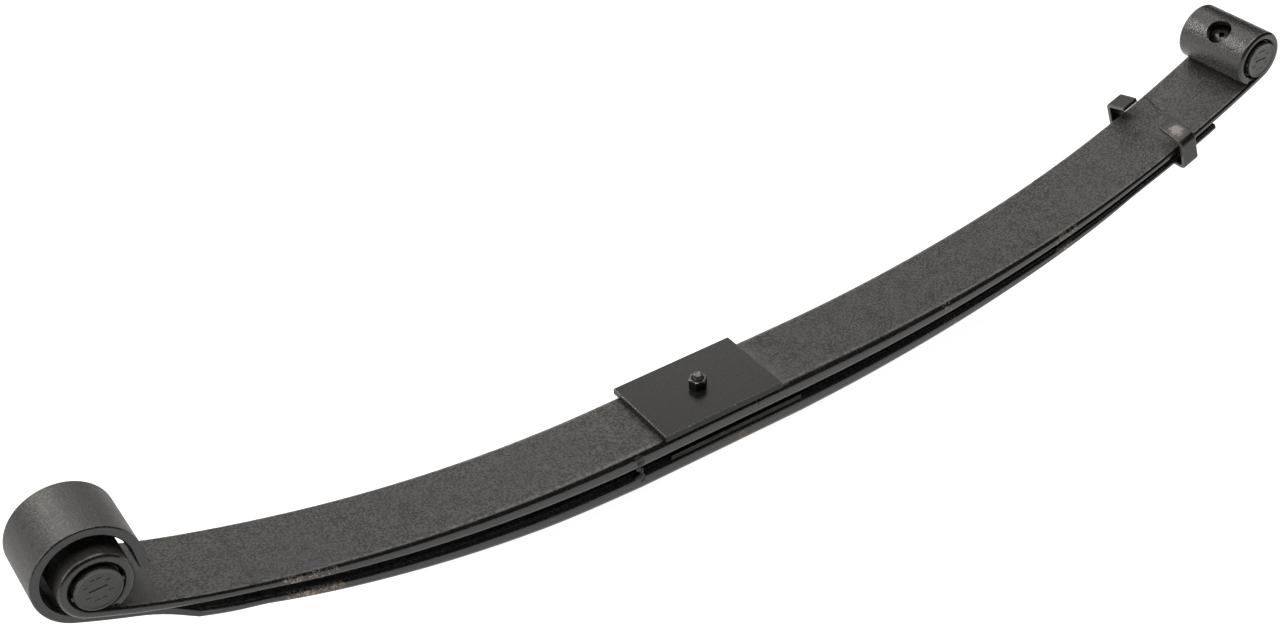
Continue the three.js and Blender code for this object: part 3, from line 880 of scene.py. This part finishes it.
print("paint runs:", [run.name for run in paint_runs])

# %% [markdown]
# ## Materials
# Paint on a spring is never even. It is satin with a fine orange-peel grain on the broad faces,
# glossy where it ran thick on the sides, and chipped on the edges. The effects that several
# finishes share are node groups, and each finish mixes them in its own amounts.

# %% Node helpers
def feed(tree, node, inputs):
    """Links each output into its socket, or sets the socket's own value."""
    for key, source in inputs.items():
        if isinstance(source, bpy.types.NodeSocket):
            tree.links.new(source, node.inputs[key])
        else:
            node.inputs[key].default_value = source


def add(tree, kind, inputs, **values):
    node = tree.nodes.new(kind)
    for key, value in values.items():
        setattr(node, key, value)
    feed(tree, node, inputs)
    return node


def math_node(tree, operation, *inputs, clamp=False):
    inputs = dict(enumerate(inputs))
    return add(tree, "ShaderNodeMath", inputs, operation=operation, use_clamp=clamp).outputs[0]


def vector_node(tree, operation, *inputs):
    return add(tree, "ShaderNodeVectorMath", dict(enumerate(inputs)), operation=operation).outputs


def plus(tree, first, second):
    return math_node(tree, "ADD", first, second)


def less(tree, first, second):
    return math_node(tree, "SUBTRACT", first, second)


def product(tree, first, *others):
    for other in others:
        first = math_node(tree, "MULTIPLY", first, other)
    return first


def total(tree, first, *others):
    """A sum of masks, held between zero and one."""
    for other in others:
        first = math_node(tree, "ADD", first, other, clamp=True)
    return first


def ranged(tree, value, low, high, to_low=0.0, to_high=1.0):
    inputs = dict(enumerate((value, low, high, to_low, to_high)))
    return add(tree, "ShaderNodeMapRange", inputs, interpolation_type="SMOOTHSTEP").outputs[0]


def gap(tree, value, centre):
    return math_node(tree, "ABSOLUTE", less(tree, value, centre))


def spot(tree, value, centre, half, soft=0.012):
    """One where a value is within half of a centre, falling softly to zero."""
    return ranged(tree, gap(tree, value, centre), half, half + soft, 1.0, 0.0)


def mixed_value(tree, factor, a, b):
    return add(tree, "ShaderNodeMix", {0: factor, 2: a, 3: b}, data_type="FLOAT").outputs[0]


def mixed(tree, factor, a, b):
    """A mix of two colours, each of them an output or three numbers."""
    a, b = ((*colour, 1) if isinstance(colour, tuple) else colour for colour in (a, b))
    return add(tree, "ShaderNodeMix", {0: factor, 6: a, 7: b}, data_type="RGBA").outputs[2]


print("node helpers are ready")

# %% [markdown]
# ### Textures, groups and materials
# Every texture follows the object's own coordinates, so the marks move with the piece.

# %% Textures, groups and materials
def noise(tree, where, scale, detail=3.0, rough=0.55):
    inputs = {"Vector": where, "Scale": scale, "Detail": detail, "Roughness": rough}
    return add(tree, "ShaderNodeTexNoise", inputs).outputs["Fac"]


def cells(tree, where, scale):
    return add(tree, "ShaderNodeTexVoronoi", {"Vector": where, "Scale": scale}).outputs["Distance"]


def mapped(tree, where, kind="POINT", **inputs):
    return add(tree, "ShaderNodeMapping", {"Vector": where, **inputs}, vector_type=kind).outputs[0]


def split(tree, vector):
    return add(tree, "ShaderNodeSeparateXYZ", {0: vector}).outputs


def bumped(tree, height, distance, strength):
    inputs = {"Height": height, "Distance": distance, "Strength": strength}
    return add(tree, "ShaderNodeBump", inputs).outputs["Normal"]


def group(name, numbers, results):
    """A node group that takes a vector and some numbers, and gives some masks or values."""
    tree = bpy.data.node_groups.new(name, "ShaderNodeTree")
    tree.interface.new_socket("Vector", in_out="INPUT", socket_type="NodeSocketVector")
    for label, value in numbers.items():
        socket = tree.interface.new_socket(label, in_out="INPUT", socket_type="NodeSocketFloat")
        socket.default_value = value
    for label in results:
        tree.interface.new_socket(label, in_out="OUTPUT", socket_type="NodeSocketFloat")
    return tree, add(tree, "NodeGroupInput", {}).outputs, add(tree, "NodeGroupOutput", {})


def use_group(tree, name, **inputs):
    return add(tree, "ShaderNodeGroup", inputs, node_tree=bpy.data.node_groups[name]).outputs


def material(name):
    made = bpy.data.materials.new(name)
    made.use_nodes = True
    tree = made.node_tree
    tree.nodes.clear()
    shader = add(tree, "ShaderNodeBsdfPrincipled", {})
    add(tree, "ShaderNodeOutputMaterial", {0: shader.outputs[0]})
    return made, tree, shader, add(tree, "ShaderNodeTexCoord", {}).outputs["Object"]


def painted(obj, finish):
    obj.data.materials.clear()
    obj.data.materials.append(finish)


print("texture and material helpers are ready")

# %% [markdown]
# ### Shared effects
# *Grain* is a fine mottling with a matching height, for paint and moulded plastic. *Chips* is a
# mask of broken paint that gathers where an edge mask is strong. *Dust* is a scatter of tiny pale
# specks.

# %% Shared effects
tree, given, outlet = group("grain", {"Scale": 900.0}, ["Mottle", "Height"])
fine = noise(tree, given["Vector"], given["Scale"], 3.0, 0.6)
broad = noise(tree, given["Vector"], product(tree, given["Scale"], 0.22), 4.0, 0.6)
blend = plus(tree, product(tree, fine, 0.78), product(tree, broad, 0.22))
feed(tree, outlet, {"Mottle": blend, "Height": fine})

tree, given, outlet = group("chips", {"Scale": 260.0, "Edge": 0.5}, ["Mask"])
flakes = noise(tree, given["Vector"], given["Scale"], 5.0, 0.65)
areas = noise(tree, given["Vector"], product(tree, given["Scale"], 0.12), 2.0, 0.5)
level = plus(tree, plus(tree, flakes, product(tree, areas, 0.5)), product(tree, given["Edge"], 0.6))
feed(tree, outlet, {"Mask": ranged(tree, level, 1.22, 1.30)})

tree, given, outlet = group("dust", {"Scale": 420.0}, ["Mask"])
speck = ranged(tree, cells(tree, given["Vector"], given["Scale"]), 0.16, 0.10)
sparse = ranged(tree, noise(tree, given["Vector"], 90.0, 2.0, 0.5), 0.52, 0.62)
feed(tree, outlet, {"Mask": product(tree, speck, sparse)})
print("groups:", [g.name for g in bpy.data.node_groups])

# %% [markdown]
# ### Leaf paint
# The broad faces are satin and mottled; the flat sides carry a thicker, glossier coat, chipped in
# a few places, and their colour is darkened as painted shade. Whether a point is on a side comes
# from the normal, and where the chips gather comes from its place on the leaf, in metres.

# %% Leaf paint
PAINT_DARK, PAINT_LIGHT = (0.014, 0.0134, 0.0127), (0.040, 0.0374, 0.0348)
BLOTCH, STREAK, SIDE_PAINTED_SHADE = (0.042, 0.0405, 0.042), (0.052, 0.049, 0.046), (0.0075, 0.0070, 0.0066)

leaf_paint, tree, shader, where = material("leaf_paint_satin")
x, y = split(tree, where)[:2]
facing = split(tree, add(tree, "ShaderNodeNewGeometry", {}).outputs["True Normal"])
sideways = math_node(tree, "ABSOLUTE", facing["Y"])
side = ranged(tree, sideways, 0.20, 0.55)
upward = ranged(tree, facing["Z"], 0.6, 0.9)
grain = use_group(tree, "grain", Vector=where, Scale=560.0)
blotch = noise(tree, where, 16.0, 5.0, 0.62)
streak = noise(tree, mapped(tree, where, Scale=(1.0, 0.16, 1.0)), 150.0, 3.0, 0.6)
front_roll, rear_roll = ranged(tree, x, -0.438, -0.450), ranged(tree, x, 0.546, 0.554)
rolled = product(tree, total(tree, front_roll, rear_roll), 0.75)
mottle = mixed_value(tree, rolled, ranged(tree, grain["Mottle"], 0.41, 0.60), 0.5)
base = mixed(tree, mottle, PAINT_DARK, PAINT_LIGHT)
base = mixed(tree, ranged(tree, blotch, 0.40, 0.70, 0.0, 0.40), base, BLOTCH)
base = mixed(tree, ranged(tree, streak, 0.50, 0.72, 0.0, 0.35), base, STREAK)
# The sides are painted darker by their normal: painted shade, on top of their glossier coat.
base = mixed(tree, product(tree, side, 0.85), base, SIDE_PAINTED_SHADE)
print("leaf paint base:", len(tree.nodes), "nodes")

# %% [markdown]
# ### Chips and a painted rim highlight on the leaves
# The paint is chipped where the leaves were handled, and a painted highlight runs along the top
# rim.

# %% Chips and the painted rim highlight on the leaves
SCALE_DARK, SCALE_LIGHT = (0.060, 0.048, 0.038), (0.270, 0.230, 0.190)
RIM_HIGHLIGHT = (0.115, 0.111, 0.105)

patches = total(tree, spot(tree, x, -0.345, 0.018), product(tree, spot(tree, x, 0.232, 0.006), 0.8),
                product(tree, spot(tree, x, 0.360, 0.008), 0.95))
edge = product(tree, patches, side, 0.86)
chips = use_group(tree, "chips", Vector=where, Scale=420.0, Edge=edge)["Mask"]
scale_mix = ranged(tree, noise(tree, where, 900.0), 0.42, 0.60)
base = mixed(tree, chips, base, mixed(tree, scale_mix, SCALE_DARK, SCALE_LIGHT))
# A thin light line along the top rim of each side, keyed to the normal: a painted highlight.
rim_highlight = product(tree, ranged(tree, sideways, 0.04, 0.16), ranged(tree, sideways, 0.50, 0.30),
              ranged(tree, facing["Z"], 0.5, 0.8),
              ranged(tree, noise(tree, where, 260.0), 0.36, 0.54))
base = mixed(tree, product(tree, rim_highlight, 0.85), base, RIM_HIGHLIGHT)
print("leaf paint with its wear:", len(tree.nodes), "nodes")

# %% [markdown]
# ### Marks on the leaves
# A rusty ring, a scratch under the clip, a lighter band beside the plate, a dark line across the
# front arm, small pits and dust.

# %% Marks on the leaves
RUST, BLACK = (0.115, 0.060, 0.032), (0.003, 0.003, 0.003)
BAND, LINE = (0.075, 0.072, 0.068), (0.012, 0.0115, 0.011)

near = ranged(tree, y, -HALF_WIDTH + 0.004, -HALF_WIDTH + 0.001)
ring = vector_node(tree, "DISTANCE", where, (0.017, -HALF_WIDTH, 0.008))["Value"]
rust = product(tree, ranged(tree, gap(tree, ring, 0.0026), 0.0018, 0.0006), near,
               ranged(tree, noise(tree, where, 600.0), 0.40, 0.56))
base = mixed(tree, rust, base, RUST)
line_x = total(tree, x, product(tree, y, -0.22), product(tree, 0.007, noise(tree, where, 90.0)))
scratch = product(tree, spot(tree, line_x, 0.5115, 0.0005, 0.0006), ranged(tree, y, 0.006, 0.009),
                  ranged(tree, facing["Z"], 0.3, 0.6),
                  ranged(tree, noise(tree, where, 210.0), 0.34, 0.48))
base = mixed(tree, product(tree, scratch, 0.9), base, BLACK)
band = product(tree, ranged(tree, x, 0.056, 0.060), ranged(tree, x, 0.066, 0.062), upward, 0.5)
base = mixed(tree, band, base, BAND)
ridge_x = plus(tree, x, product(tree, y, 0.05))
ridge = product(tree, spot(tree, ridge_x, -0.383, 0.0006, 0.0040), upward)
base = mixed(tree, product(tree, ridge, 0.60), base, LINE)
pit = product(tree, ranged(tree, cells(tree, where, 130.0), 0.22, 0.12), side,
              ranged(tree, noise(tree, where, 34.0, 1.0), 0.60, 0.66))
base = mixed(tree, pit, base, BLACK)
dust = use_group(tree, "dust", Vector=where, Scale=600.0)["Mask"]
base = mixed(tree, product(tree, dust, 0.16), base, (0.30, 0.29, 0.27))
print("leaf paint with its marks:", len(tree.nodes), "nodes")

# %% [markdown]
# ### Gloss and grain of the leaf paint
# The thick coat on the sides is smoother than the faces, and a slight bump carries the grain.

# %% Gloss and grain of the leaf paint
rough = ranged(tree, grain["Mottle"], 0.36, 0.64, 0.34, 0.54)
rough = total(tree, rough, ranged(tree, blotch, 0.42, 0.70, 0.0, 0.07))
rough = less(tree, rough, product(tree, side, 0.27))
rough = total(tree, rough, product(tree, front_roll, 0.08))
rough = less(tree, rough, product(tree, rear_roll, less(tree, 1.0, side), 0.20))
shine = total(tree, mixed_value(tree, mottle, 0.30, 0.74), product(tree, rear_roll, 0.12))
height = less(tree, grain["Height"], total(tree, pit, scratch))
strength = less(tree, 0.55, product(tree, side, 0.48))
feed(tree, shader, {
    "Base Color": base,
    "Roughness": total(tree, rough, product(tree, chips, 0.25)),
    "Metallic": product(tree, chips, 0.7),
    "Specular IOR Level": mixed_value(tree, side, shine, 0.55),
    "Normal": bumped(tree, height, 0.0009, strength),
})
for halves in leaf_halves.values():
    for half in halves.values():
        painted(half, leaf_paint)
print("painted", list(leaf_halves))

# %% [markdown]
# ### Where gloss paint wears and carries a painted highlight
# The plate, the nut and the clip wear along their edges, and the same edges are painted lighter as
# a highlight. Each rule is a mask of those edges, from the distance of a point from the middle of
# the piece.

# %% Where gloss paint wears
def away_from(tree, where, place=(0, 0, 0), axes=(1, 1, 1)):
    """Distance of each point from a place, along only some of the axes."""
    step = vector_node(tree, "SUBTRACT", where, place)["Vector"]
    kept = vector_node(tree, "MULTIPLY", step, axes)["Vector"]
    return vector_node(tree, "LENGTH", kept)["Value"]


def plate_edge(tree, where):
    ends = ranged(tree, away_from(tree, where, axes=(1, 0, 0)), PLATE_X - 0.0013, PLATE_X - 0.0007)
    sides = ranged(tree, away_from(tree, where, axes=(0, 1, 0)), PLATE_Y - 0.0013, PLATE_Y - 0.0007)
    top = ranged(tree, away_from(tree, where, (0, 0, PLATE_TOP), (0, 0, 1)), 0.0012, 0.0006)
    return product(tree, total(tree, ends, sides), top)


def nut_edge(tree, where):
    out = ranged(tree, away_from(tree, where, axes=(1, 1, 0)), 0.0060, 0.0068)
    above = away_from(tree, where, (0, 0, PLATE_TOP + NUT_HEIGHT), (0, 0, 1))
    return product(tree, out, ranged(tree, above, 0.0020, 0.0010))


def clip_edge(tree, where):
    """The strap's two edges, by the distance along the arm, and the bend's worn patch."""
    out, rise, slope = top_line(REAR, CLIP_ALONG)
    at = mapped(tree, where, "TEXTURE", Location=(out, 0, rise), Rotation=(0, -slope, 0))
    along = away_from(tree, at, axes=(1, 0, 0))
    edges = ranged(tree, along, CLIP_HALF - 0.0012, CLIP_HALF - 0.0004)
    bend = away_from(tree, at, (-0.001, 0.009 - CLIP_REACH, CLIP_TOP + 0.005))
    return total(tree, product(tree, edges, 0.78), ranged(tree, bend, 0.0125, 0.0030))


print("rules for worn edges are ready")

# %% [markdown]
# ### Gloss paint
# The plate, the nut and the clip carry a thick gloss coat with bright worn corners, and a painted
# highlight along their edges.

# %% Gloss paint
def gloss(name, edge_wear_and_highlight_rule, wear, shine=0.22, dark=(0.0045, 0.0044, 0.0040),
          light=(0.0090, 0.0086, 0.0078), bare=(0.24, 0.225, 0.20)):
    """Thick gloss paint, broken to bright steel where the edge rule and the flakes agree."""
    made, tree, shader, where = material(name)
    grain = use_group(tree, "grain", Vector=where, Scale=420.0)
    edge = edge_wear_and_highlight_rule(tree, where)
    worn = product(tree, edge, wear)
    chips = use_group(tree, "chips", Vector=where, Scale=700.0, Edge=worn)["Mask"]
    dust = use_group(tree, "dust", Vector=where, Scale=650.0)["Mask"]
    base = mixed(tree, ranged(tree, grain["Mottle"], 0.35, 0.65), dark, light)
    base = mixed(tree, product(tree, dust, 0.30), base, (0.30, 0.29, 0.26))
    # Edges tinted light grey: a painted highlight along the worn corners.
    base = mixed(tree, product(tree, edge, 0.45), base, (0.13, 0.12, 0.11))
    feed(tree, shader, {
        "Base Color": mixed(tree, chips, base, bare),
        "Roughness": ranged(tree, grain["Mottle"], 0.35, 0.65, 0.24, 0.31),
        "Specular IOR Level": shine,
        "Metallic": product(tree, chips, 0.8),
        "Normal": bumped(tree, grain["Height"], 0.0003, 0.05),
    })
    print(name, len(tree.nodes), "nodes")
    return made


plate_paint = gloss("plate_gloss_paint", plate_edge, 0.62)
nut_paint = gloss("nut_gloss_paint", nut_edge, 0.90, 0.5)
clip_paint = gloss("clip_gloss_paint", clip_edge, 0.95, 0.30, (0.007, 0.0066, 0.0062),
                   (0.018, 0.0165, 0.015), (0.125, 0.118, 0.106))

# %% [markdown]
# ### Steels
# Turned, plated and rolled steel differ in how long their fine marks are drawn out.

# %% Steels
def steel(name, dark, light, rough_low, rough_high, stretch):
    """Bare steel with fine marks drawn out along one direction."""
    made, tree, shader, where = material(name)
    marks = noise(tree, mapped(tree, where, Scale=stretch), 700.0, 4.0, 0.65)
    stains = ranged(tree, noise(tree, where, 60.0, 3.0, 0.6), 0.55, 0.75, 0.0, 0.6)
    base = mixed(tree, ranged(tree, marks, 0.35, 0.65), dark, light)
    feed(tree, shader, {
        "Base Color": mixed(tree, stains, base, (0.10, 0.085, 0.07)),
        "Roughness": ranged(tree, marks, 0.3, 0.7, rough_low, rough_high),
        "Metallic": 1.0,
        "Normal": bumped(tree, marks, 0.0001, 0.3),
    })
    print(name, len(tree.nodes), "nodes")
    return made


# The sleeve steel is made near black, for the paint that reaches it and as painted shade inside the
# eyes.
bush_steel_with_shade = steel("bush_turned_steel_with_painted_shade", (0.018, 0.017, 0.016), (0.060, 0.056, 0.052), 0.22, 0.36,
                   (1, 8, 1))
bolt_steel = steel("bolt_steel_plated", (0.07, 0.067, 0.063), (0.20, 0.19, 0.18), 0.25, 0.40,
                   (1, 1, 6))
liner_steel = steel("liner_steel_rolled", (0.12, 0.115, 0.105), (0.30, 0.29, 0.27), 0.30, 0.45,
                    (0.2, 1, 1))
# The spacer steel is made near black, for the paint on it and as painted shade between the leaves.
spacer_steel_with_shade = steel("spacer_steel_with_painted_shade", (0.010, 0.009, 0.008), (0.035, 0.032, 0.030), 0.40, 0.60,
                     (0.3, 1, 1))

# %% [markdown]
# ### Plastics
# Moulded plastic is an even dark colour with a very fine grain and a little dust.

# %% Plastics
def plastic(name, dark, light, rough_low, rough_high, scale):
    made, tree, shader, where = material(name)
    grain = use_group(tree, "grain", Vector=where, Scale=scale)
    dust = use_group(tree, "dust", Vector=where, Scale=700.0)["Mask"]
    base = mixed(tree, ranged(tree, grain["Mottle"], 0.35, 0.65), dark, light)
    feed(tree, shader, {
        "Base Color": mixed(tree, product(tree, dust, 0.3), base, (0.25, 0.24, 0.22)),
        "Roughness": ranged(tree, grain["Mottle"], 0.35, 0.65, rough_low, rough_high),
        "Normal": bumped(tree, grain["Height"], 0.0002, 0.3),
    })
    return made


plug_plastic = plastic("plug_plastic_moulded", (0.012, 0.0112, 0.0105), (0.024, 0.0225, 0.021),
                       0.20, 0.34, 1100.0)
pad_plastic = plastic("pad_plastic_moulded", (0.025, 0.025, 0.025), (0.045, 0.045, 0.045),
                      0.45, 0.60, 900.0)

FINISHES = [
    (plate_paint, ["top_plate_body", *(run.name for run in paint_runs)]),
    (nut_paint, ["centre_nut_body"]),
    (clip_paint, ["rebound_clip_strap", "clip_rivet_body"]),
    (bolt_steel, ["centre_bolt_body"]),
    (bush_steel_with_shade, ["front_eye_sleeve", "rear_eye_sleeve"]),
    (liner_steel, ["plate_liner"]),
    (spacer_steel_with_shade, ["leaf_spacer"]),
    (plug_plastic, ["front_near_plug_body", "front_far_plug_body", "rear_near_plug_body",
                    "rear_far_plug_body"]),
    (pad_plastic, ["tip_pad_body"]),
]
for finish, names in FINISHES:
    for name in names:
        painted(bpy.data.objects[name], finish)
    print(finish.name, "on", names)

# %% [markdown]
# ## Floor and light
# The spring stands on a pale studio floor that glows evenly, under a broad overhead softbox, with a
# second one behind it that grazes the tops of the leaves.

# %% Floor and light
clear_selection()
bpy.ops.mesh.primitive_circle_add(vertices=96, radius=6.0, fill_type="NGON",
                                  location=(0, 0, CAD_BOX[0][2] - 0.0005))
floor = bpy.context.object
floor.name = "studio_floor"
paper, tree, shader, _ = material("paper_white")
feed(tree, shader, {
    "Base Color": (0.35, 0.35, 0.35, 1), "Roughness": 0.9, "Specular IOR Level": 0.1,
    "Emission Color": (1, 1, 1, 1), "Emission Strength": 0.97,
})
floor.data.materials.append(paper)


def softbox(name, at, aim, size, power):
    light = bpy.data.lights.new(name, "AREA")
    light.shape, light.size, light.size_y, light.energy = "RECTANGLE", size[0], size[1], power
    light.color = (1.0, 0.985, 0.955)
    lamp = bpy.data.objects.new(name, light)
    lamp.location = at
    lamp.rotation_euler = (Vector(aim) - Vector(at)).to_track_quat("-Z", "Y").to_euler()
    bpy.context.scene.collection.objects.link(lamp)


softbox("overhead_box", (0.0, 0.1, 2.2), (0, 0, 0), (2.4, 1.6), 38)
softbox("back_box", (0.9, 2.4, 1.9), (0, 0, 0.1), (2.6, 1.2), 25)
softbox("roll_box", (-0.81, 1.76, 1.47), (0.575, 0, 0.15), (0.36, 0.9), 30)
softbox("left_box", (-2.6, 0.4, 1.1), (-0.2, 0, 0.1), (1.2, 1.2), 26)
world = bpy.data.worlds.new("studio")
world.use_nodes = True
world.node_tree.nodes["Background"].inputs["Color"].default_value = (0.03, 0.03, 0.03, 1)
bpy.context.scene.world = world
bpy.context.scene.view_settings.view_transform = "Standard"
